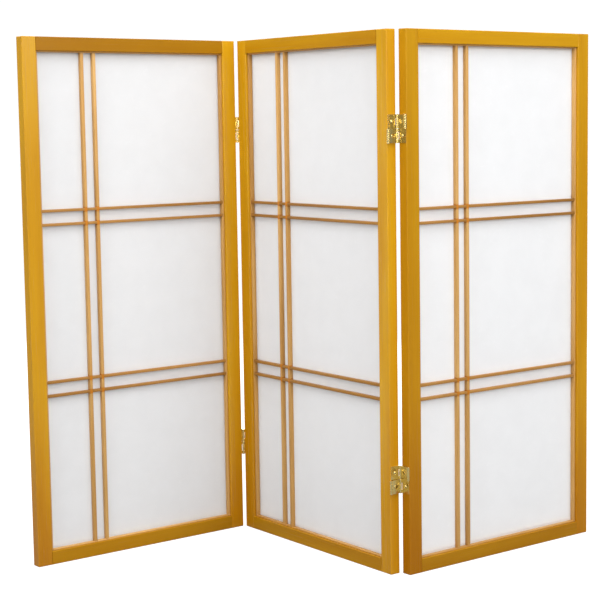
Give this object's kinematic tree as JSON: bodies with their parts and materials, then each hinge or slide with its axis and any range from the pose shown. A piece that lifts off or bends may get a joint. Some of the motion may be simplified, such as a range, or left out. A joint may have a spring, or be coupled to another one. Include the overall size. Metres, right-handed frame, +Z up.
{
  "type": "three-panel folding shoji screen",
  "caption": "Free-standing folding room divider: slim wooden frames with a lattice and translucent paper, joined by brass hinges that fold both ways.",
  "frame": {"origin": "on the floor, under the centre of the middle panel, which is the centre of the screen's footprint", "axes": "+Z up, +X along the zig-zag from the left panel to the right one, lattice fronts towards -Y"},
  "size_m": [0.9634, 0.3386, 0.914],
  "materials": {
    "frame_wood": "honey stain under satin lacquer",
    "lattice_wood": "lighter honey stain, satin",
    "paper": "translucent fibrous paper",
    "brass": "bright plated"
  },
  "bodies": {
    "middle_panel": {"middle_panel_left_stile": "frame_wood", "middle_panel_right_stile": "frame_wood", "middle_panel_top_rail": "frame_wood", "middle_panel_bottom_rail": "frame_wood", "middle_panel_side_strips": "lattice_wood", "middle_panel_end_strips": "lattice_wood", "middle_panel_upright_1": "lattice_wood", "middle_panel_upright_2": "lattice_wood", "middle_panel_lower_crossbars": "lattice_wood", "middle_panel_upper_crossbars": "lattice_wood", "middle_panel_paper": "paper", "middle_panel_beads": "frame_wood", "left_top_hinge_middle_leaf": "brass", "left_bottom_hinge_middle_leaf": "brass", "right_top_hinge_middle_leaf": "brass", "right_bottom_hinge_middle_leaf": "brass", "middle_panel_pins": "brass", "middle_panel_screws": "brass"},
    "left_upper_links": {"left_top_hinge_upper_link": "brass", "left_bottom_hinge_upper_link": "brass"},
    "left_panel": {"left_panel_left_stile": "frame_wood", "left_panel_right_stile": "frame_wood", "left_panel_top_rail": "frame_wood", "left_panel_bottom_rail": "frame_wood", "left_panel_side_strips": "lattice_wood", "left_panel_end_strips": "lattice_wood", "left_panel_upright_1": "lattice_wood", "left_panel_upright_2": "lattice_wood", "left_panel_lower_crossbars": "lattice_wood", "left_panel_upper_crossbars": "lattice_wood", "left_panel_paper": "paper", "left_panel_beads": "frame_wood", "left_top_hinge_outer_leaf": "brass", "left_bottom_hinge_outer_leaf": "brass", "left_panel_pins": "brass", "left_panel_screws": "brass"},
    "left_lower_links": {"left_top_hinge_lower_link": "brass", "left_bottom_hinge_lower_link": "brass"},
    "right_upper_links": {"right_top_hinge_upper_link": "brass", "right_bottom_hinge_upper_link": "brass"},
    "right_panel": {"right_panel_left_stile": "frame_wood", "right_panel_right_stile": "frame_wood", "right_panel_top_rail": "frame_wood", "right_panel_bottom_rail": "frame_wood", "right_panel_side_strips": "lattice_wood", "right_panel_end_strips": "lattice_wood", "right_panel_upright_1": "lattice_wood", "right_panel_upright_2": "lattice_wood", "right_panel_lower_crossbars": "lattice_wood", "right_panel_upper_crossbars": "lattice_wood", "right_panel_paper": "paper", "right_panel_beads": "frame_wood", "right_top_hinge_outer_leaf": "brass", "right_bottom_hinge_outer_leaf": "brass", "right_panel_pins": "brass", "right_panel_screws": "brass"},
    "right_lower_links": {"right_top_hinge_lower_link": "brass", "right_bottom_hinge_lower_link": "brass"}
  },
  "joints": [
    {"name": "left_fold", "type": "hinge", "parent": "middle_panel", "child": "left_upper_links", "pos_m": [-0.16161, 0.15325, 0.457], "axis": [0, 0, 1], "range_deg": [-92, 88]},
    {"name": "left_reverse_fold", "type": "hinge", "parent": "left_upper_links", "child": "left_panel", "pos_m": [-0.17571, 0.16686, 0.457], "axis": [0, 0, -1], "range_deg": [0, 90]},
    {"name": "left_lower_link_swing", "type": "hinge", "parent": "middle_panel", "child": "left_lower_links", "pos_m": [-0.14751, 0.16686, 0.457], "axis": [0, 0, -1], "range_deg": [0, 90]},
    {"name": "right_fold", "type": "hinge", "parent": "middle_panel", "child": "right_upper_links", "pos_m": [0.16161, -0.15325, 0.457], "axis": [0, 0, 1], "range_deg": [-92, 88]},
    {"name": "right_reverse_fold", "type": "hinge", "parent": "right_upper_links", "child": "right_panel", "pos_m": [0.17571, -0.16686, 0.457], "axis": [0, 0, -1], "range_deg": [0, 90]},
    {"name": "right_lower_link_swing", "type": "hinge", "parent": "middle_panel", "child": "right_lower_links", "pos_m": [0.14751, -0.16686, 0.457], "axis": [0, 0, -1], "range_deg": [0, 90]}
  ],
  "couplings": [
    {"joint": "left_lower_link_swing", "follows": "left_reverse_fold", "ratio": 1},
    {"joint": "right_lower_link_swing", "follows": "right_reverse_fold", "ratio": 1}
  ]
}
